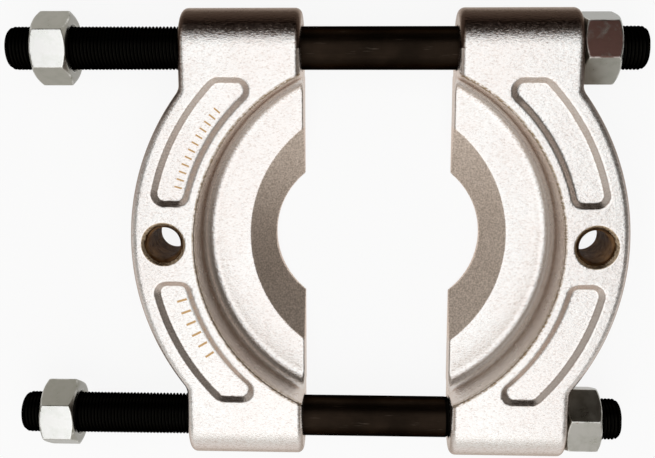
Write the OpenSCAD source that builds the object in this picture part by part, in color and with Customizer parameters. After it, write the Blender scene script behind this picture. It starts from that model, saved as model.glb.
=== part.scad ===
// Bearing separator: two forged half plates with wedge edges, drawn together
// along two studs by four nuts. The plates lie flat, the studs run along X and
// the origin is at the middle of the whole tool, level with the underside.

/* [Halves] */
// Thickness of each half, underside to top face
plate_t = 35; // [34:0.5:42]
// Open width between the two mating faces
gap = 68; // [10:1:80]
// Length of each stud boss along its stud
boss_len = 53; // [48:0.5:60]
// Rounding of the forged boss edges
boss_round = 3; // [1:0.25:5]

/* [Bearing seat] */
// Radius of the seat's wall at the top face
seat_r = 81.5; // [78:0.5:82.5]
// Distance from a mating face back to the axis of the seat and the rim
seat_centre = 34; // [32:0.5:36]
// Height of the seat's floor above the underside
seat_floor = 12.5; // [9:0.5:16]
// How much the seat's wall leans outwards over its height
seat_draft = 1; // [0:0.25:3]
// Fillet between the seat's wall and its floor
seat_fillet = 6; // [2:0.5:8]

/* [Rim] */
// Width of the rim at the top face, from the seat's wall outwards
rim_w = 29; // [26:0.5:34]
// Rounding of the rim's outer edges
rim_round = 3.5; // [1:0.25:5]

/* [Wedge edge] */
// Outer radius of the bevel, at the seat's floor
bevel_r = 63; // [60:0.5:66]
// Radius of the bevel's cone where it reaches the underside
bevel_foot_r = 46; // [44:0.5:48]
// Distance from a mating face back to the bevel's axis
bevel_centre = 38; // [36:0.5:40]
// Radius of the notch that clears the shaft
notch_r = 36; // [34:0.5:37]
// Distance from a mating face back to the notch's axis
notch_centre = 22.5; // [21:0.5:25]

/* [Puller holes] */
// Tapped radius of a puller hole
puller_r = 7.3; // [5:0.1:8]
// Distance from the rim's outer face in to the axis of a puller hole
puller_edge = 15; // [13:0.5:17]
// Width of the chamfer round a puller hole
puller_chamfer = 2.4; // [0.5:0.1:3]

/* [Panels] */
// Width left between the seat's wall and a recessed panel
panel_in = 4.5; // [3:0.5:6]
// Width left between a recessed panel and the rim's outer face
panel_out = 7.5; // [6:0.5:9]
// Distance from the puller hole's line to the panel's near end
panel_near = 16.8; // [14:0.2:20]
// Distance from the puller hole's line to the panel's far end
panel_far = 73.6; // [65:0.2:76]
// Depth of the panels
panel_depth = 2.5; // [1:0.1:4]
// Width of the sloping wall round a panel
panel_slope = 2.6; // [1:0.1:3.5]
// Corner radius of the panel's floor
panel_corner = 3.2; // [1:0.1:4]

/* [Studs] */
// Distance between the two stud axes
stud_spacing = 171.5; // [168:0.5:180]
// Diameter of the studs
stud_d = 19.05; // [16:0.05:19.5]
// Length of the studs
stud_len = 282; // [270:0.5:320]
// Rounding of the stud ends
stud_round = 3.5; // [1:0.25:5]
// Pitch of the thread on the studs
thread_pitch = 1.5875; // [1.25:0.0125:2.5]
// Depth of the thread on the studs
thread_depth = 0.95; // [0.5:0.05:1.2]
// Length of the thread on each end of a stud
thread_len = 81.5; // [60:0.5:95]
// Radial clearance of a stud in its boss
stud_clear = 0.4; // [0.3:0.05:0.6]
// How far the upper stud stands out of its right nut
upper_out = 13.2; // [5:0.1:20]
// How far the lower stud stands out of its right nut
lower_out = 10.4; // [5:0.1:20]

/* [Nuts] */
// Width of the nuts across their flats
nut_af = 28.6; // [26:0.1:30]
// Thickness of the nuts
nut_t = 16.3; // [12:0.1:20]
// Radial clearance of a stud in a nut
nut_clear = 0.05; // [0.02:0.01:0.1]
// Room left between a nut's corners and the rim
nut_room = 0.5; // [0.5:0.1:2]
// Slope of the chamfer on the nut's corners, in degrees
nut_chamfer = 30; // [20:1:40]
// Width of the countersink in the nut's mouths
nut_sink = 1; // [0.4:0.1:2]
// How far the upper stud stands out of its left nut
upper_left_out = 13.2; // [9:0.1:25]
// How far the lower stud stands out of its left nut
lower_left_out = 10.8; // [9:0.1:25]
// Turn of the upper right nut about its stud, in degrees
upper_right_turn = 16; // [-30:1:30]
// Turn of the lower right nut about its stud, in degrees
lower_right_turn = -14; // [-30:1:30]

/* [Hidden] */
$fn = 96;
// Margin by which a cut runs past the face it opens
past = 1;
// Segments of the cone that slopes a panel's wall
slope_fn = 24;

stud_y = stud_spacing / 2;
stud_z = plate_t / 2;
stud_r = stud_d / 2;
boss_r = plate_t / 2;
bore_r = stud_r + stud_clear;
// Widths of the thread's flat roots and of its mouths between two crests
thread_root = thread_pitch / 4;
thread_mouth = thread_pitch * 7 / 8;
thread_turns = floor((thread_len - stud_round) / thread_pitch);
rim_r = seat_r + rim_w;
half_depth = rim_r - seat_centre;
puller_out = half_depth - puller_edge;
panel_in_r = seat_r + panel_in;
panel_out_r = rim_r - panel_out;
nut_corner_r = nut_af / sqrt(3);
// The rim ends inside the bosses, where it leaves the nuts free to turn
rim_half_w = stud_y - nut_corner_r - nut_room;
// Distances from the middle of the gap: the boss ends, the right nuts' outer
// faces and the two ends of each stud
boss_face = gap / 2 + boss_len;
nut_outer = boss_face + nut_t;
upper_right_end = nut_outer + upper_out;
lower_right_end = nut_outer + lower_out;
upper_left_end = upper_right_end - stud_len;
lower_left_end = lower_right_end - stud_len;
// Middle of the gap, with the whole tool centred on the origin
gap_x = -(max(upper_right_end, lower_right_end) + min(upper_left_end, lower_left_end)) / 2;
nut_bore_r = stud_r + nut_clear;
// The chamfer circle lies just inside the flats
nut_face_r = 0.48 * nut_af;
nut_chamfer_h = (nut_corner_r - nut_face_r) * tan(nut_chamfer);

// Rounded section, from the axis out to radius r and along to length len
module round_section(r, len, round) {
  square([r - round, len]);
  translate([0, round])
    square([r, len - 2 * round]);
  for (end = [round, len - round])
    translate([r - round, end])
      circle(round);
}

// Full rim disc about its own axis, cut off at the mating face and inside the bosses
module rim_blank() {
  intersection() {
    translate([-seat_centre, 0, 0])
      rotate_extrude()
        round_section(rim_r, plate_t, rim_round);
    translate([0, -rim_half_w, 0])
      cube([half_depth, 2 * rim_half_w, plate_t]);
  }
}

// Bar with rounded long edges that carries both bosses
module boss_bar() {
  translate([0, stud_y, stud_z])
    rotate([90, 0, 0])
      linear_extrude(stud_spacing)
        for (side = [0, 1])
          mirror([0, side])
            rotate(-90)
              mirror([1, 0])
                round_section(boss_r, boss_len, boss_round);
}

// Half-round end of one boss, concentric with its stud
module boss_end() {
  translate([0, 0, stud_z])
    rotate([0, 90, 0])
      rotate_extrude(angle = 180)
        round_section(boss_r, boss_len, boss_round);
}

// Space of the bearing seat, open at the top
module seat_cut() {
  wall_foot_r = seat_r - seat_draft;
  floor_r = wall_foot_r - seat_fillet;
  wall_foot_z = seat_floor + seat_fillet;
  translate([-seat_centre, 0, 0])
    rotate_extrude() {
      translate([0, seat_floor])
        square([floor_r, plate_t + past - seat_floor]);
      polygon([[0, wall_foot_z], [wall_foot_r, wall_foot_z], [seat_r, plate_t],
               [seat_r, plate_t + past], [0, plate_t + past]]);
      translate([floor_r, wall_foot_z])
        circle(seat_fillet);
    }
}

// Cone that thins the seat's floor down to the wedge edge
module bevel_cut() {
  rise = (bevel_r - bevel_foot_r) / seat_floor;
  translate([-bevel_centre, 0, -past])
    cylinder(h = seat_floor + 2 * past, r1 = bevel_foot_r - rise * past, r2 = bevel_r + rise * past);
}

// Notch that lets a shaft pass between the wedge edges
module notch_cut() {
  translate([-notch_centre, 0, -past])
    cylinder(h = seat_floor + 2 * past, r = notch_r);
}

// Tapped hole for a puller screw, chamfered at both mouths
module puller_cut() {
  translate([puller_out, 0, 0]) {
    translate([0, 0, -past])
      cylinder(h = plate_t + 2 * past, r = puller_r);
    for (end = [0, 1])
      translate([0, 0, end * plate_t])
        mirror([0, 0, end])
          translate([0, 0, -past])
            cylinder(h = puller_chamfer + past, r1 = puller_r + puller_chamfer + past, r2 = puller_r);
  }
}

// Outline of one panel at the top face, before its corners are rounded
module panel_outline() {
  intersection() {
    translate([-seat_centre, 0])
      difference() {
        circle(panel_out_r);
        circle(panel_in_r);
      }
    translate([0, panel_near])
      square([half_depth, panel_far - panel_near]);
  }
}

// Shallow recess with sloping walls in the rim's top face
module panel_cut() {
  translate([0, 0, plate_t - panel_depth])
    minkowski() {
      linear_extrude(past / 2)
        offset(r = panel_corner)
          offset(delta = -panel_corner - panel_slope)
            panel_outline();
      cylinder(h = panel_depth, r1 = 0, r2 = panel_slope, $fn = slope_fn);
    }
}

// One half in its own frame: mating face at x = 0, body towards +X
module half() {
  difference() {
    union() {
      rim_blank();
      boss_bar();
      for (side = [0, 1])
        mirror([0, side, 0])
          translate([0, stud_y, 0])
            boss_end();
    }
    seat_cut();
    bevel_cut();
    notch_cut();
    puller_cut();
    for (side = [0, 1])
      mirror([0, side, 0]) {
        panel_cut();
        translate([-past, stud_y, stud_z])
          rotate([0, 90, 0])
            cylinder(h = boss_len + 2 * past, r = bore_r);
      }
  }
}

// Section of the thread on one end of a stud, where a ring stands for each turn
module thread_section() {
  for (turn = [0 : thread_turns - 1])
    translate([stud_r, stud_round + (turn + 0.5) * thread_pitch])
      polygon([[-thread_depth, -thread_root / 2], [0, -thread_mouth / 2], [past, -thread_mouth / 2],
               [past, thread_mouth / 2], [0, thread_mouth / 2], [-thread_depth, thread_root / 2]]);
}

// Stud with rounded, threaded ends, its right end at x = 0
module stud() {
  translate([-stud_len, 0, 0])
    rotate([0, 90, 0])
      rotate_extrude()
        difference() {
          round_section(stud_r, stud_len, stud_round);
          thread_section();
          translate([0, stud_len])
            mirror([0, 1])
              thread_section();
        }
}

// Hexagon nut with one flat facing up, from x = 0 to x = nut_t
module nut() {
  rotate([0, 90, 0])
    difference() {
      intersection() {
        rotate(30)
          cylinder(h = nut_t, r = nut_corner_r, $fn = 6);
        rotate_extrude()
          polygon([[0, 0], [nut_face_r, 0], [nut_corner_r, nut_chamfer_h],
                   [nut_corner_r, nut_t - nut_chamfer_h], [nut_face_r, nut_t], [0, nut_t]]);
      }
      translate([0, 0, -past])
        cylinder(h = nut_t + 2 * past, r = nut_bore_r);
      for (end = [0, 1])
        translate([0, 0, end * nut_t])
          mirror([0, 0, end])
            translate([0, 0, -past])
              cylinder(h = nut_sink + past, r1 = nut_bore_r + nut_sink + past, r2 = nut_bore_r);
    }
}

// Places a stud or nut on the upper (side = 1) or lower (side = -1) stud axis,
// at a distance x from the middle of the gap
module on_stud(side, x, turn = 0) {
  translate([gap_x + x, side * stud_y, stud_z])
    rotate([-turn, 0, 0])
      children();
}

module left_half() {
  color("silver")
    translate([gap_x - gap / 2, 0, 0])
      mirror([1, 0, 0])
        half();
}

module right_half() {
  color("silver")
    translate([gap_x + gap / 2, 0, 0])
      half();
}

module upper_stud() {
  color("#1c1a18")
    on_stud(1, upper_right_end)
      stud();
}

module lower_stud() {
  color("#1c1a18")
    on_stud(-1, lower_right_end)
      stud();
}

module upper_left_nut() {
  color("#a9aca6")
    on_stud(1, upper_left_end + upper_left_out)
      nut();
}

module lower_left_nut() {
  color("#a9aca6")
    on_stud(-1, lower_left_end + lower_left_out)
      nut();
}

module upper_right_nut() {
  color("#a9aca6")
    on_stud(1, boss_face, upper_right_turn)
      nut();
}

module lower_right_nut() {
  color("#a9aca6")
    on_stud(-1, boss_face, lower_right_turn)
      nut();
}

left_half();
right_half();
upper_stud();
lower_stud();
upper_left_nut();
lower_left_nut();
upper_right_nut();
lower_right_nut();
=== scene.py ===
import itertools
import math

import bmesh
import bpy
import numpy as np
from mathutils import Matrix, Vector


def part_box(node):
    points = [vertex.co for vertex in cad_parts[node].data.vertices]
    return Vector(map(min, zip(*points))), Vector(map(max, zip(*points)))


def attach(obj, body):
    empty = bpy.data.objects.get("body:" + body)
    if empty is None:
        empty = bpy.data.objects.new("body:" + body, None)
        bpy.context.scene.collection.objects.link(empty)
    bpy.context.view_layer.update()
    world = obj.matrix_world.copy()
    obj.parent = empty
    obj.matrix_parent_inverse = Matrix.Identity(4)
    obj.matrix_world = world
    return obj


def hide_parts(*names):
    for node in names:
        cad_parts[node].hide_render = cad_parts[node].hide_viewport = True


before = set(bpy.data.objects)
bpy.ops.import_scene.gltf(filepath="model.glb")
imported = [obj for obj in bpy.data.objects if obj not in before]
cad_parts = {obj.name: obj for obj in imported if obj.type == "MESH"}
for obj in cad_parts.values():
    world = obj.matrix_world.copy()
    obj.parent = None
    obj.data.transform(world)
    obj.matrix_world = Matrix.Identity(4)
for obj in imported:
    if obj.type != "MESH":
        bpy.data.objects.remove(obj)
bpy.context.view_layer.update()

MM = 0.001

# Sizes of the CAD solids that the meshes below repeat, in mm
PLATE_T = 35
BOSS_LEN, BOSS_ROUND = 53, 3
SEAT_R, SEAT_CENTRE, SEAT_FLOOR, SEAT_DRAFT, SEAT_FILLET = 81.5, 34, 12.5, 1, 6
RIM_R, RIM_ROUND, RIM_HALF_W = 110.5, 3.5, 68.7
BEVEL_R, BEVEL_FOOT_R, BEVEL_CENTRE = 63, 46, 38
NOTCH_R, NOTCH_CENTRE = 36, 22.5
PULLER_R, PULLER_OUT, PULLER_CHAMFER = 7.3, 61.5, 2.4
PANEL_IN_R, PANEL_OUT_R, PANEL_NEAR, PANEL_FAR = 86, 103, 16.8, 73.6
PANEL_DEPTH, PANEL_SLOPE, PANEL_CORNER = 2.5, 2.6, 3.2
STUD_Y, STUD_Z, STUD_R, STUD_ROUND, BORE_R = 85.75, 17.5, 9.525, 3.5, 9.925
NUT_AF, NUT_T, NUT_BORE_R, NUT_SINK = 28.6, 16.3, 9.575, 1
NUT_CHAMFER = math.radians(30)
NUT_FACE_R = 0.48 * NUT_AF
# How far the right nuts are turned on their studs, in degrees
UPPER_NUT_TURN, LOWER_NUT_TURN = 16, -14

# Threads: pitch, depth and the length cut on each end of a stud
STUD_PITCH, STUD_THREAD_DEPTH, STUD_THREAD_LEN = 1.5875, 0.95, 81.5
PULLER_PITCH, PULLER_THREAD_DEPTH = 1.411, 0.7
# Corners of a thread's profile, in pitches: crest from the first to the second, root from the third to the fourth
THREAD_CORNERS = (0, 0.125, 0.4375, 0.6875)

# Circle that the marks in the left half's panels follow, and how far they lie over the panel's floor
MARK_R, MARK_RISE = 92, 0.04

# Softening of the forged and machined edges that the solids leave sharp
FORGED_EDGE, PANEL_EDGE, MACHINED_EDGE, NUT_EDGE = 1.1, 0.4, 0.5, 0.35
# Reach of the fillet in the corner between rim and boss, and how far the rim runs on inside the boss
CREASE, RIM_OVERLAP = 1.5, 4
# Radius of the hole in a half's mesh, which its threaded sleeve lines
SLEEVE_R = PULLER_R + PULLER_THREAD_DEPTH + 0.3


# Distance functions, negative inside a solid

def meet(a, b, r):
    """Distance to what lies inside both a and b, with their edge rounded to radius r."""
    return np.minimum(np.maximum(a, b), -r) + np.hypot(np.maximum(a + r, 0), np.maximum(b + r, 0))


def merge(a, b, reach):
    """Distance to a and b together, with a small fillet where both are as near, within that reach."""
    near = np.maximum(reach - np.abs(a - b), 0) / reach
    return np.minimum(a, b) - near ** 2 * reach / 4


def cut(a, b, r):
    """Distance to a with b taken out, the new edge rounded to radius r."""
    return meet(a, -b, r)


def half_distance(x, y, z):
    """One half in its own frame: mating face at x = 0, body towards +X, underside at z = 0."""
    side = np.abs(y)
    slab = np.abs(z - PLATE_T / 2) - PLATE_T / 2
    from_axis = np.hypot(x + SEAT_CENTRE, y)
    rim = meet(merge(from_axis - RIM_R, x - BOSS_LEN, CREASE), slab, RIM_ROUND)
    rim = np.maximum(np.maximum(rim, -x), side - RIM_HALF_W - RIM_OVERLAP)
    stadium = np.hypot(np.maximum(side - STUD_Y, 0), z - STUD_Z) - PLATE_T / 2
    boss = meet(stadium, np.abs(x - BOSS_LEN / 2) - BOSS_LEN / 2, BOSS_ROUND)
    solid = np.minimum(rim, boss)

    wall_foot = SEAT_FLOOR + SEAT_FILLET
    wall_r = SEAT_R - SEAT_DRAFT * (PLATE_T - z) / (PLATE_T - wall_foot)
    seat = meet(from_axis - wall_r, SEAT_FLOOR - z, SEAT_FILLET)
    solid = cut(solid, seat, FORGED_EDGE)

    lean = (BEVEL_R - BEVEL_FOOT_R) / SEAT_FLOOR
    bevel = (np.hypot(x + BEVEL_CENTRE, y) - BEVEL_FOOT_R - lean * z) / math.hypot(1, lean)
    solid = cut(solid, np.maximum(bevel, z - SEAT_FLOOR - 1), MACHINED_EDGE / 2)
    solid = cut(solid, np.hypot(x + NOTCH_CENTRE, y) - NOTCH_R, MACHINED_EDGE / 2)

    slope = PANEL_SLOPE / PANEL_DEPTH
    wall = (panel_outline(x + SEAT_CENTRE, side) + slope * (PLATE_T - z)) / math.hypot(1, slope)
    panel = meet(wall, PLATE_T - PANEL_DEPTH - z, PANEL_EDGE)
    solid = cut(solid, panel, PANEL_EDGE)

    deep = np.minimum(z, PLATE_T - z)
    from_hole = np.hypot(x - PULLER_OUT, y)
    chamfer = (from_hole - PULLER_R - PULLER_CHAMFER + deep) / math.sqrt(2)
    hole = np.minimum(from_hole - SLEEVE_R, chamfer)
    solid = cut(solid, hole, MACHINED_EDGE / 2)
    return cut(solid, np.hypot(side - STUD_Y, z - STUD_Z) - BORE_R, MACHINED_EDGE)


def panel_outline(u, side):
    """Distance in plan to a panel's edge at the top face, from the rim's axis: the inset outline, grown again by
    as much as it was inset, which rounds its corners."""
    inset = PANEL_CORNER + PANEL_SLOPE
    arcs = (PANEL_IN_R + inset, PANEL_OUT_R - inset)
    ends = (PANEL_NEAR + inset, PANEL_FAR - inset)
    r = np.hypot(u, side)
    inner = np.maximum(np.maximum(arcs[0] - r, r - arcs[1]), np.maximum(ends[0] - side, side - ends[1]))
    outer = np.full(np.shape(r), np.inf)
    for arc in arcs:
        foot = side * arc / r
        along_arc = (foot > ends[0]) & (foot < ends[1])
        outer = np.where(along_arc, np.minimum(outer, np.abs(r - arc)), outer)
    for end in ends:
        foot = np.hypot(u, end)
        along_end = (foot > arcs[0]) & (foot < arcs[1])
        outer = np.where(along_end, np.minimum(outer, np.abs(side - end)), outer)
        for arc in arcs:
            corner = math.sqrt(arc ** 2 - end ** 2)
            outer = np.minimum(outer, np.hypot(u - corner, side - end))
    return np.where(inner < 0, inner, outer) - inset


def nut_distance(x, y, z):
    """A hexagon nut along X from x = 0 to NUT_T, one flat facing up."""
    hexagon = np.abs(z) - NUT_AF / 2
    for turn in (60, 120):
        a = math.radians(turn)
        flat = np.abs(z * math.cos(a) + y * math.sin(a)) - NUT_AF / 2
        hexagon = meet(hexagon, flat, NUT_EDGE)
    from_end = NUT_T / 2 - np.abs(x - NUT_T / 2)
    solid = meet(hexagon, -from_end, NUT_EDGE)
    r = np.hypot(y, z)
    chamfer = (r - NUT_FACE_R) * math.sin(NUT_CHAMFER) - from_end * math.cos(NUT_CHAMFER)
    solid = meet(solid, chamfer, NUT_EDGE)
    sink = (r - NUT_BORE_R - NUT_SINK + from_end) / math.sqrt(2)
    return cut(solid, np.minimum(r - NUT_BORE_R, sink), NUT_EDGE / 2)


# Meshes

def distance_mesh(name, distance, low, high, step):
    """Mesh of a distance function's surface, in metres: a quad for each grid edge that crosses the surface,
    with every vertex drawn onto the surface and shaded by its true normal."""
    before, beyond = 1.6 * step, 2 * step
    axes = [np.arange(a - before, b + beyond, step) for a, b in zip(low, high)]
    inside = distance(*np.meshgrid(*axes, indexing="ij")) < 0
    nx, ny, nz = (n - 1 for n in inside.shape)
    filled = sum(inside[i:i + nx, j:j + ny, k:k + nz].astype(np.int8)
                 for i, j, k in itertools.product((0, 1), repeat=3))
    cells = np.argwhere((filled > 0) & (filled < 8))
    index = np.full((nx, ny, nz), -1)
    index[tuple(cells.T)] = np.arange(len(cells))

    points = np.stack([axis[cells[:, i]] + step / 2 for i, axis in enumerate(axes)], 1)
    rounds, stride = 10, 0.9
    for _ in range(rounds):
        normals = slopes(distance, points)
        reach = np.clip(distance(*points.T), -step, step)
        points -= normals * reach[:, None] * stride
    normals = slopes(distance, points)

    quads = []
    for a in range(3):
        order = (a, (a + 1) % 3, (a + 2) % 3)
        grid = np.transpose(inside, order)
        cell = np.transpose(index, order)
        here, there = grid[:-1, 1:-1, 1:-1], grid[1:, 1:-1, 1:-1]
        i, j, k = np.nonzero(here != there)
        quad = np.stack([cell[i, j, k], cell[i, j + 1, k], cell[i, j + 1, k + 1], cell[i, j, k + 1]], 1)
        backward = ~here[i, j, k]
        quad[backward] = quad[backward, ::-1]
        quads.append(quad)

    mesh = bpy.data.meshes.new(name)
    mesh.from_pydata((points * MM).tolist(), [], np.concatenate(quads).tolist())
    mesh.shade_smooth()
    mesh.normals_split_custom_set_from_vertices(normals.tolist())
    return mesh


def slopes(distance, points):
    """Unit direction in which the distance grows fastest, at each point."""
    h = 0.02
    found = np.stack([distance(*(points + h * axis).T) - distance(*(points - h * axis).T)
                      for axis in np.eye(3)], 1)
    return found / np.maximum(np.linalg.norm(found, axis=1, keepdims=True), 1e-9)


def thread_depth(phase):
    """Share of a thread's depth at a phase of its pitch: narrow crest, straight flanks, flat root."""
    return np.interp(phase % 1, [*THREAD_CORNERS, 1], [0, 0, 1, 1, 0])


def threaded_mesh(name, length, pitch, lines, radius, segments, closed):
    """Surface round the X axis from x = 0 to length, in metres. Its grid lines wind with a right-hand thread, and
    radius gives its radius at a place along the axis and a phase of the pitch. lines are in pitches."""
    turn = np.linspace(0, 1, segments + 1)
    line, turns = np.meshgrid(np.asarray(lines, float), turn, indexing="ij")
    x = np.clip((line + turns) * pitch, 0, length)
    r = radius(x, line)
    points = np.stack([x, r * np.cos(math.tau * turns), r * np.sin(math.tau * turns)], -1) * MM
    corner = np.arange(line.size).reshape(line.shape)
    quads = np.stack([corner[:-1, :-1], corner[:-1, 1:], corner[1:, 1:], corner[1:, :-1]], -1)

    mesh = bpy.data.meshes.new(name)
    mesh.from_pydata(points.reshape(-1, 3).tolist(), [], quads.reshape(-1, 4).tolist())
    shaped = bmesh.new()
    shaped.from_mesh(mesh)
    bmesh.ops.remove_doubles(shaped, verts=shaped.verts, dist=0.002 * MM)
    if closed:
        bmesh.ops.holes_fill(shaped, edges=[e for e in shaped.edges if e.is_boundary], sides=0)
        bmesh.ops.recalc_face_normals(shaped, faces=shaped.faces)
    shaped.to_mesh(mesh)
    shaped.free()
    mesh.shade_smooth()
    mesh.set_sharp_from_angle(angle=math.radians(35))
    return mesh


def thread_lines(length, pitch, threaded):
    """Grid lines, in pitches, for a surface of that length: at each corner of the thread's profile where threaded
    says that there is a thread, and one now and then elsewhere."""
    lines = []
    for k in range(-1, math.ceil(length / pitch) + 1):
        for corner in THREAD_CORNERS:
            if threaded((k + corner) * pitch) or (corner == 0 and k % 8 == 0):
                lines.append(k + corner)
    return [-1] + [n for n in lines if n > -1 and n * pitch < length] + [length / pitch]


def stud_mesh(name, length):
    def threaded(x):
        return min(x, length - x) < STUD_THREAD_LEN + 2 * STUD_PITCH

    def radius(x, line):
        from_end = np.minimum(x, length - x)
        fade = np.clip((STUD_THREAD_LEN - from_end) / (1.5 * STUD_PITCH), 0, 1)
        thread = STUD_R - STUD_THREAD_DEPTH * fade * thread_depth(line)
        bend = np.clip(STUD_ROUND - from_end, 0, STUD_ROUND)
        end = STUD_R - STUD_ROUND + np.sqrt(STUD_ROUND ** 2 - bend ** 2)
        return np.minimum(thread, end)

    lines = thread_lines(length, STUD_PITCH, threaded)
    return threaded_mesh(name, length, STUD_PITCH, lines, radius, segments=48, closed=True)


def sleeve_mesh(name):
    """Thread that lines a puller hole, between the chamfers of its mouths."""
    inset = PULLER_CHAMFER - (SLEEVE_R - PULLER_R)
    length = PLATE_T - 2 * inset

    def radius(x, line):
        deep = inset + np.minimum(x, length - x)
        thread = PULLER_R + PULLER_THREAD_DEPTH * (1 - thread_depth(line + 0.5))
        return np.maximum(thread, PULLER_R + PULLER_CHAMFER - deep)

    lines = thread_lines(length, PULLER_PITCH, lambda x: True)
    mesh = threaded_mesh(name, length, PULLER_PITCH, lines, radius, segments=48, closed=False)
    mesh.flip_normals()
    mesh.transform(Matrix.Translation((0, 0, inset * MM)) @ Matrix.Rotation(-math.pi / 2, 4, "Y"))
    return mesh


# Materials
# Noise scales are in waves to the metre, and colours are linear. The stops of the sides pair a colour with how level
# the surface is, from 0 on a wall to 1 on a flat; their colours are painted shade, darker on walls and slopes than
# on flats.

PLATING, GRAZING_TINT = (0.88, 0.868, 0.85), (0.88, 0.78, 0.71, 1)
# Painted shade on the outer forged sides, darkest on steep roundings
FORGED_SIDE_SHADE = [(0.0, (0.42, 0.38, 0.35)), (0.35, (0.34, 0.30, 0.265)), (0.62, (0.46, 0.415, 0.38)),
                (0.82, (0.76, 0.71, 0.675))]
# Painted shade on the sides near the boss on the far side: brown on the walls and near black on the slopes, for the
# dark reflections there
FAR_END_SIDE_SHADE = [(0.0, (0.30, 0.26, 0.23)), (0.28, (0.19, 0.15, 0.125)), (0.46, (0.046, 0.029, 0.021)),
              (0.80, (0.046, 0.028, 0.020)), (0.87, (0.30, 0.235, 0.20)), (0.93, (0.72, 0.665, 0.63))]
# Painted shade on the sides inside the rim, round the seat and the panels: paler walls and a brown band in the
# fillets
SEAT_SIDE_SHADE = [(0.0, (0.68, 0.64, 0.60)), (0.50, (0.74, 0.70, 0.66)), (0.75, (0.73, 0.68, 0.64)),
              (0.83, (0.58, 0.51, 0.45)), (0.91, (0.80, 0.76, 0.73))]
# Colour of a broken brown line along the seat's top edge
SEAT_EDGE_LINE = (0.30, 0.22, 0.14)
WORN_ZINC, RUST = (0.84, 0.83, 0.79), (0.20, 0.10, 0.05)


def grey(level):
    """Colour that carries one number, such as a roughness."""
    return (level, level, level)


def node(tree, kind, inputs=None, **settings):
    """Adds a shader node with its settings, and feeds its inputs with values or with other nodes' outputs."""
    made = tree.nodes.new(kind)
    for key, value in settings.items():
        setattr(made, key, value)
    for key, value in (inputs or {}).items():
        if isinstance(value, bpy.types.NodeSocket):
            tree.links.new(value, made.inputs[key])
        else:
            made.inputs[key].default_value = value
    return made


def material(name, metallic):
    """A new material, its node tree and its shader."""
    made = bpy.data.materials.new(name)
    made.use_nodes = True
    shader = made.node_tree.nodes["Principled BSDF"]
    shader.inputs["Metallic"].default_value = metallic
    return made, made.node_tree, shader


def noise(tree, coordinates, scale, detail=3.0, roughness=0.55):
    found = node(tree, "ShaderNodeTexNoise", {"Vector": coordinates, "Scale": scale, "Detail": detail,
                                              "Roughness": roughness})
    return found.outputs["Fac"]


def ramp(tree, value, stops):
    """Colour that follows a value through (position, colour) stops."""
    made = node(tree, "ShaderNodeValToRGB", {"Fac": value})
    elements = made.color_ramp.elements
    while len(elements) < len(stops):
        elements.new(0.5)
    for element, (position, colour) in zip(elements, stops):
        element.position = position
        element.color = (*colour, 1)
    return made.outputs["Color"]


def blend(tree, factor, a, b, mode="MIX"):
    """Colour between a and b."""
    made = node(tree, "ShaderNodeMix", {"Factor": factor}, data_type="RGBA", blend_type=mode)
    for socket, value in ((made.inputs[6], a), (made.inputs[7], b)):
        if isinstance(value, bpy.types.NodeSocket):
            tree.links.new(value, socket)
        else:
            socket.default_value = (*value, 1)
    return made.outputs[2]


def math_node(tree, operation, a, b=0.0, c=0.0):
    return node(tree, "ShaderNodeMath", {0: a, 1: b, 2: c}, operation=operation).outputs[0]


def share(tree, value, first, last):
    """Number that goes from 0 to 1 as a value goes from first to last, and stays there beyond them."""
    return node(tree, "ShaderNodeMapRange", {"Value": value, "From Min": first, "From Max": last}).outputs[0]


def bump(tree, shader, height, distance, under=None):
    """Relief of that depth in metres, laid over the relief under it. Gives the normals, to lay more on."""
    made = node(tree, "ShaderNodeBump", {"Height": height, "Distance": distance, "Strength": 1.0})
    if under is not None:
        tree.links.new(under, made.inputs["Normal"])
    tree.links.new(made.outputs["Normal"], shader.inputs["Normal"])
    return made.outputs["Normal"]


def slope_shade(tree, coordinates, flat, sides, speckle):
    """Colour with painted shade by slope: flat where the surface faces up or down, and following the stops of sides
    as it turns away, in place of the darker reflections that slopes and walls would show. speckle, from 0 to 1,
    breaks up the change."""
    unevenness = 0.24
    facing = node(tree, "ShaderNodeSeparateXYZ", {"Vector": coordinates.outputs["Normal"]}).outputs["Z"]
    level = math_node(tree, "ABSOLUTE", facing)
    broken = math_node(tree, "MULTIPLY_ADD", speckle, unevenness, level)
    level = math_node(tree, "SUBTRACT", broken, unevenness / 2)
    return ramp(tree, level, [*sides, (0.95, flat)])


def plan_radius(tree, place, centre):
    """Distance in plan from an axis at that distance behind the mating face, in metres."""
    from_axis = node(tree, "ShaderNodeVectorMath", {0: place, 1: (centre * MM, 0, 0)}, operation="ADD").outputs[0]
    flat = node(tree, "ShaderNodeVectorMath", {0: from_axis, 1: (1, 1, 0)}, operation="MULTIPLY").outputs[0]
    return node(tree, "ShaderNodeVectorMath", {0: flat}, operation="LENGTH").outputs["Value"]


def all_of(tree, *masks):
    """Mask that is 1 where all the given masks are."""
    found = masks[0]
    for mask in masks[1:]:
        found = math_node(tree, "MULTIPLY", found, mask)
    return found


def below(tree, value, limit):
    """Mask that is 1 where a value lies under its limit."""
    return math_node(tree, "LESS_THAN", value, limit)


def above(tree, value, limit):
    """Mask that is 1 where a value lies over its limit."""
    return math_node(tree, "GREATER_THAN", value, limit)


def bevel_mask(tree, place, height):
    """The bevel along the wedge edge, without the edges of the seat's floor and of the underside."""
    top, foot = SEAT_FLOOR - 0.12, 0.3
    inside = below(tree, plan_radius(tree, place, BEVEL_CENTRE), BEVEL_R * MM)
    return all_of(tree, inside, below(tree, height, top * MM), above(tree, height, foot * MM))


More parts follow.
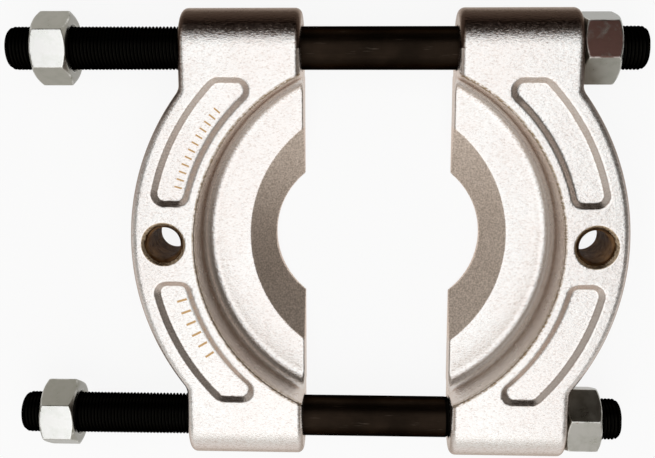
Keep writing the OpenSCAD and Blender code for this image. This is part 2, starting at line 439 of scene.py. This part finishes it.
def seat_edge_mask(tree, from_axis, height, speckle):
    """A broken line along the seat's top edge."""
    middle, half_width, core = SEAT_R + FORGED_EDGE / 2, 1.0, 0.4
    off_edge = math_node(tree, "ABSOLUTE", math_node(tree, "SUBTRACT", from_axis, middle * MM))
    near = share(tree, off_edge, half_width * MM, core * MM)
    at_top = above(tree, height, (PLATE_T - 2 * FORGED_EDGE) * MM)
    return all_of(tree, near, at_top, share(tree, speckle, 0.38, 0.56))


def plated_forging(name, seed, shaded_end):
    """Satin plating over a forged skin, with a bare blasted bevel along the wedge edge. The sides carry painted
    shade:
    they darken as they turn away from level, and darken and brown further towards the boss on the scene's far side,
    at the +Y or -Y end of the half that the sign of the third argument picks."""
    made, tree, shader = material(name, metallic=1.0)
    coordinates = node(tree, "ShaderNodeTexCoord")
    place = coordinates.outputs["Object"]
    moved = node(tree, "ShaderNodeMapping", {"Vector": place, "Location": (seed, 0.3 * seed, 0)}).outputs[0]
    drawn = node(tree, "ShaderNodeMapping", {"Vector": moved, "Rotation": (0, 0, 0.6),
                                             "Scale": (1, 2, 1)}).outputs[0]
    wrinkles = noise(tree, drawn, 760, detail=3, roughness=0.65)
    lumps = noise(tree, moved, 260, detail=3)
    grain = noise(tree, moved, 1300, detail=2)
    patches = noise(tree, moved, 30, detail=3)

    axes = node(tree, "ShaderNodeSeparateXYZ", {"Vector": place}).outputs
    from_axis = plan_radius(tree, place, SEAT_CENTRE)
    bare = bevel_mask(tree, place, axes["Z"])
    in_rim = below(tree, from_axis, (PANEL_OUT_R + 1) * MM)
    off_boss = below(tree, math_node(tree, "ABSOLUTE", axes["Y"]), STUD_Y * MM)
    inner_faces = all_of(tree, in_rim, off_boss)
    streaked = seat_edge_mask(tree, from_axis, axes["Z"], wrinkles)
    mouth_r = PULLER_R + PULLER_CHAMFER + 0.2
    in_mouth = below(tree, plan_radius(tree, place, -PULLER_OUT), mouth_r * MM)

    # Painted shade: towards the far boss the sides take darker, browner stops
    far_end_shade = share(tree, axes["Y"], 0, shaded_end * STUD_Y * MM)
    outside = blend(tree, far_end_shade, slope_shade(tree, coordinates, PLATING, FORGED_SIDE_SHADE, wrinkles),
                    slope_shade(tree, coordinates, PLATING, FAR_END_SIDE_SHADE, wrinkles))
    # Painted shade on the faces inside the rim, with their own stops
    inside = slope_shade(tree, coordinates, PLATING, SEAT_SIDE_SHADE, wrinkles)
    skin = blend(tree, inner_faces, outside, inside)
    warm = ramp(tree, patches, [(0.35, (1, 1, 1)), (0.65, (0.975, 0.945, 0.935))])
    plated = blend(tree, 1.0, skin, warm, mode="MULTIPLY")
    specks = ramp(tree, wrinkles, [(0.30, (0.80, 0.745, 0.72)), (0.42, (0.96, 0.935, 0.92)), (0.52, (1, 1, 1))])
    plated = blend(tree, 1.0, plated, specks, mode="MULTIPLY")
    # A broken brown line along the seat's top edge
    plated = blend(tree, streaked, plated, SEAT_EDGE_LINE)
    tan = ramp(tree, grain, [(0.36, (0.30, 0.22, 0.145)), (0.62, (0.66, 0.54, 0.40))])
    plated = blend(tree, in_mouth, plated, tan)
    sand = ramp(tree, grain, [(0.34, (0.52, 0.43, 0.36)), (0.66, (0.88, 0.765, 0.675))])
    tree.links.new(blend(tree, bare, plated, sand), shader.inputs["Base Color"])
    shader.inputs["Specular Tint"].default_value = GRAZING_TINT

    dull_or_shaded = ramp(tree, lumps, [(0.3, grey(0.21)), (0.7, grey(0.28))])
    rough = blend(tree, bare, dull_or_shaded, grey(0.34))
    tree.links.new(rough, shader.inputs["Roughness"])

    soft = bump(tree, shader, lumps, 0.10 * MM)
    peel = bump(tree, shader, wrinkles, 0.17 * MM, under=soft)
    bump(tree, shader, grain, 0.02 * MM, under=peel)
    return made


def black_oxide(length):
    """Blackened, oiled steel: brown-black on the plain middle of a stud, blacker on its threads."""
    made, tree, shader = material("black_oxide", metallic=1.0)
    place = node(tree, "ShaderNodeTexCoord").outputs["Object"]
    drawn = node(tree, "ShaderNodeMapping", {"Vector": place, "Scale": (0.10, 1, 1)}).outputs[0]
    scuffs = noise(tree, drawn, 900, detail=4)
    patches = noise(tree, place, 60, detail=3)
    along = node(tree, "ShaderNodeSeparateXYZ", {"Vector": place}).outputs["X"]
    from_middle = math_node(tree, "ABSOLUTE", math_node(tree, "SUBTRACT", along, length / 2 * MM))
    threaded = above(tree, from_middle, (length / 2 - STUD_THREAD_LEN) * MM)
    shank = ramp(tree, patches, [(0.35, (0.011, 0.0075, 0.0052)), (0.7, (0.022, 0.0145, 0.0098))])
    streaked = ramp(tree, scuffs, [(0.64, (0, 0, 0)), (0.80, (0.05, 0.04, 0.032))])
    worn = blend(tree, 1.0, shank, streaked, mode="ADD")
    tree.links.new(blend(tree, threaded, worn, (0.0060, 0.0055, 0.0045)), shader.inputs["Base Color"])
    shader.inputs["Specular Tint"].default_value = (0.12, 0.10, 0.09, 1)
    rough = ramp(tree, scuffs, [(0.3, grey(0.34)), (0.7, grey(0.46))])
    tree.links.new(rough, shader.inputs["Roughness"])
    bump(tree, shader, scuffs, 0.02 * MM)
    return made


def zinc_plate(name, flat, side):
    """Zinc, with painted shade that makes the sides of the hexagon darker than its up and down flats and the ends
    darker still, faint drag lines, a few rust specks and corners worn bright in places."""
    made, tree, shader = material(name, metallic=1.0)
    coordinates = node(tree, "ShaderNodeTexCoord")
    place = coordinates.outputs["Object"]
    drawn = node(tree, "ShaderNodeMapping", {"Vector": place, "Scale": (0.15, 1, 1)}).outputs[0]
    drag = noise(tree, drawn, 1100, detail=3)
    clouds = noise(tree, place, 190, detail=5)
    specks = noise(tree, place, 420, detail=2)
    # Painted shade: sides darker than the flats, ends darker still
    low = tuple(0.8 * v for v in side)
    zinc = slope_shade(tree, coordinates, flat, [(0.0, low), (0.5, side), (0.86, side)], clouds)
    cloudy = ramp(tree, clouds, [(0.34, (0.86, 0.87, 0.85)), (0.56, (1, 1, 1))])
    zinc = blend(tree, 1.0, zinc, cloudy, mode="MULTIPLY")
    rust = ramp(tree, specks, [(0.74, (0, 0, 0)), (0.78, (1, 1, 1))])
    zinc = blend(tree, rust, zinc, RUST)
    corner = node(tree, "ShaderNodeNewGeometry").outputs["Pointiness"]
    worn = all_of(tree, share(tree, corner, 0.515, 0.55), share(tree, clouds, 0.40, 0.56))
    tree.links.new(blend(tree, worn, zinc, WORN_ZINC), shader.inputs["Base Color"])
    rough = ramp(tree, clouds, [(0.3, grey(0.26)), (0.7, grey(0.36))])
    tree.links.new(rough, shader.inputs["Roughness"])
    bump(tree, shader, drag, 0.02 * MM)
    return made


def tapped_steel():
    """Bare steel in the puller holes, stained brown by oil."""
    made, tree, shader = material("tapped_steel", metallic=1.0)
    place = node(tree, "ShaderNodeTexCoord").outputs["Object"]
    stain = noise(tree, place, 260, detail=4)
    brown = ramp(tree, stain, [(0.3, (0.105, 0.048, 0.018)), (0.7, (0.30, 0.175, 0.085))])
    tree.links.new(brown, shader.inputs["Base Color"])
    rough = ramp(tree, stain, [(0.3, grey(0.30)), (0.7, grey(0.45))])
    tree.links.new(rough, shader.inputs["Roughness"])
    bump(tree, shader, stain, 0.03 * MM)
    return made


def amber_etch():
    """Amber tone of the marks etched into the panels."""
    made, _, shader = material("amber_etch", metallic=0.0)
    shader.inputs["Base Color"].default_value = (0.80, 0.50, 0.22, 1)
    shader.inputs["Roughness"].default_value = 0.6
    return made


# Pieces

def piece(name, mesh, place, body, finish, replaced=None):
    """A mesh at its place in the frame, riding a body, in one material."""
    made = bpy.data.objects.new(name, mesh)
    bpy.context.scene.collection.objects.link(made)
    made.matrix_world = place
    if not mesh.materials:
        mesh.materials.append(finish)
    made.material_slots[0].link = "OBJECT"
    made.material_slots[0].material = finish
    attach(made, body)
    if replaced:
        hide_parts(replaced)
    return made


def half_place(side):
    """Where a half's own frame lies, with its mating face at the gap."""
    if side == "left":
        return Matrix.Translation((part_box("left_half")[1].x, 0, 0)) @ Matrix.Rotation(math.pi, 4, "Z")
    return Matrix.Translation((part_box("right_half")[0].x, 0, 0))


def add_halves():
    low, high = (0, -STUD_Y - PLATE_T / 2, 0), (RIM_R - SEAT_CENTRE, STUD_Y + PLATE_T / 2, PLATE_T)
    plate = distance_mesh("half_plate", half_distance, low, high, step=0.9)
    sleeve = sleeve_mesh("puller_thread")
    bronze = tapped_steel()
    for side, seed, shaded_end in (("left", 0.0, -1), ("right", 0.4, 1)):
        body, place = side + "_half", half_place(side)
        finish = plated_forging(side + "_plating", seed, shaded_end)
        piece(side + "_plate", plate, place, body, finish, replaced=body)
        hole = place @ Matrix.Translation((PULLER_OUT * MM, 0, 0))
        piece(side + "_puller_thread", sleeve, hole, body, bronze)


def add_marks():
    """Plain amber ticks in the left half's panels: a fine row in the upper one, a coarse row in the lower one."""
    level = PLATE_T - PANEL_DEPTH + MARK_RISE
    # Side of the half, ticks, first and last angle in degrees, and a tick's length and width
    rows = ((-1, 12, 16, 40, 3.4, 0.75), (1, 6, 16.5, 34, 4.6, 1.0))
    corners = []
    for side, count, first, last, height, width in rows:
        for angle in np.radians(np.linspace(first, last, count)):
            out = np.array([math.cos(angle), side * math.sin(angle)])
            across = np.array([-out[1], out[0]])
            for far, along in ((-1, -1), (1, -1), (1, 1), (-1, 1)):
                x, y = out * (MARK_R + far * height / 2) + across * along * width / 2
                corners.append(((x - SEAT_CENTRE) * MM, y * MM, level * MM))
    mesh = bpy.data.meshes.new("panel_marks")
    mesh.from_pydata(corners, [], [tuple(range(i, i + 4)) for i in range(0, len(corners), 4)])
    piece("left_panel_marks", mesh, half_place("left"), "left_half", amber_etch())


def add_studs():
    for level in ("upper", "lower"):
        body = level + "_stud"
        low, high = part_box(body)
        length = (high.x - low.x) / MM
        mesh = stud_mesh(body, length)
        place = Matrix.Translation((low.x, (low.y + high.y) / 2, (low.z + high.z) / 2))
        piece(level + "_threaded_stud", mesh, place, body, black_oxide(length),
              replaced=body)


def add_nuts():
    # Colours of each finish on a flat that faces up and on the other sides; the darker sides are painted shade
    zinc = zinc_plate("zinc_plate", (0.96, 0.96, 0.94), (0.33, 0.315, 0.27))
    # Shaded copies of the zinc for the turned right nuts: painted shade on their flats, one brown-black
    dull_or_shaded = zinc_plate("shaded_zinc", (0.42, 0.41, 0.38), (0.37, 0.355, 0.31))
    brown_shaded = zinc_plate("brown_shaded_zinc", (0.14, 0.075, 0.062), (0.36, 0.355, 0.32))
    reach = NUT_AF / math.sqrt(3)
    nut = distance_mesh("hex_nut", nut_distance, (0, -reach, -reach), (NUT_T, reach, reach), step=0.42)
    for body, turn, finish in (("upper_left_nut", 0, zinc), ("lower_left_nut", 0, zinc),
                               ("upper_right_nut", UPPER_NUT_TURN, brown_shaded),
                               ("lower_right_nut", LOWER_NUT_TURN, dull_or_shaded)):
        mesh = nut.copy()
        mesh.transform(Matrix.Rotation(math.radians(-turn), 4, "X"))
        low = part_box(body)[0]
        place = Matrix.Translation((low.x, math.copysign(STUD_Y * MM, low.y), STUD_Z * MM))
        piece(body.replace("_nut", "_hex"), mesh, place, body, finish, replaced=body)


# Stage, light and camera

def add_floor():
    """Pale floor that shows near white to the eye and in reflections, and still takes a soft shadow."""
    made, tree, shader = material("pale_floor", metallic=0.0)
    shader.inputs["Base Color"].default_value = (0.9, 0.9, 0.9, 1)
    shader.inputs["Roughness"].default_value = 0.9
    glow_share, reach, drop = 0.90, 6.0, 0.02 * MM
    rays = node(tree, "ShaderNodeLightPath").outputs
    seen = math_node(tree, "MAXIMUM", rays["Is Camera Ray"], rays["Is Glossy Ray"])
    seen = math_node(tree, "MAXIMUM", seen, rays["Is Transmission Ray"])
    glowing = math_node(tree, "MULTIPLY", seen, glow_share)
    glow = node(tree, "ShaderNodeEmission", {"Color": (1, 1, 1, 1), "Strength": 1.0})
    mixed = node(tree, "ShaderNodeMixShader", {0: glowing, 1: shader.outputs[0], 2: glow.outputs[0]})
    tree.links.new(mixed.outputs[0], tree.nodes["Material Output"].inputs["Surface"])

    mesh = bpy.data.meshes.new("floor")
    mesh.from_pydata([(-reach, -reach, 0), (reach, -reach, 0), (reach, reach, 0), (-reach, reach, 0)], [],
                     [(0, 1, 2, 3)])
    mesh.materials.append(made)
    floor = bpy.data.objects.new("floor", mesh)
    bpy.context.scene.collection.objects.link(floor)
    floor.location.z = -drop


def add_light():
    """One softbox overhead, in a studio that is bright on the near side and dim on the far side."""
    width, near, far, height, radiance = 1.15, -1.23, 0.70, 1.0, 1.20
    lamp = bpy.data.lights.new("softbox", "AREA")
    lamp.shape = "RECTANGLE"
    lamp.size, lamp.size_y = width, far - near
    lamp.energy = radiance * math.pi * width * (far - near)
    box = bpy.data.objects.new("softbox", lamp)
    box.location = (0, (near + far) / 2, height)
    bpy.context.scene.collection.objects.link(box)


def add_world():
    """The studio's walls. They are black overhead, because rays pass through the softbox and would add what lies
    behind it to its own light."""
    left, right = (0.50, 0.48, 0.455), (0.18, 0.165, 0.15)
    near, far = (0.74, 0.72, 0.69), (0.028, 0.021, 0.016)
    horizon, overhead = (0.85, 0.84, 0.83), (0, 0, 0)
    world = bpy.data.worlds.new("studio")
    world.use_nodes = True
    bpy.context.scene.world = world
    tree = world.node_tree
    direction = node(tree, "ShaderNodeTexCoord").outputs["Generated"]
    rise = node(tree, "ShaderNodeSeparateXYZ", {"Vector": direction}).outputs["Z"]
    level = node(tree, "ShaderNodeVectorMath", {0: direction, 1: (1, 1, 0)}, operation="MULTIPLY").outputs[0]
    bearing = node(tree, "ShaderNodeVectorMath", {0: level}, operation="NORMALIZE").outputs[0]
    across, away, _ = node(tree, "ShaderNodeSeparateXYZ", {"Vector": bearing}).outputs
    walls = blend(tree, share(tree, across, -0.6, 0.6), left, right)
    walls = blend(tree, share(tree, away, -0.3, -0.75), walls, near)
    walls = blend(tree, share(tree, away, 0.75, 0.93), walls, far)
    walls = blend(tree, share(tree, rise, 0.55, 0.85), walls, overhead)
    shade = blend(tree, share(tree, rise, 0.0, 0.06), horizon, walls)
    tree.links.new(shade, tree.nodes["Background"].inputs["Color"])


def add_camera():
    """The photograph's own viewpoint, found from the studs, nuts and holes."""
    roll, yaw, pitch = -0.0064, -0.0386, 0.1866
    place, lens = Vector((0.019883, 0.085989, 0.450247)), 52.855
    to_camera = Matrix.Rotation(roll, 3, "Z") @ Matrix.Rotation(yaw, 3, "Y") @ Matrix.Rotation(pitch, 3, "X")
    data = bpy.data.cameras.new("camera")
    data.lens = lens
    data.clip_start, data.clip_end = 0.01, 50
    camera = bpy.data.objects.new("camera", data)
    bpy.context.scene.collection.objects.link(camera)
    camera.matrix_world = Matrix.Translation(place) @ to_camera.transposed().to_4x4()
    bpy.context.scene.camera = camera


add_halves()
add_marks()
add_studs()
add_nuts()
add_floor()
add_light()
add_world()
add_camera()
bpy.context.scene.view_settings.view_transform = "Standard"
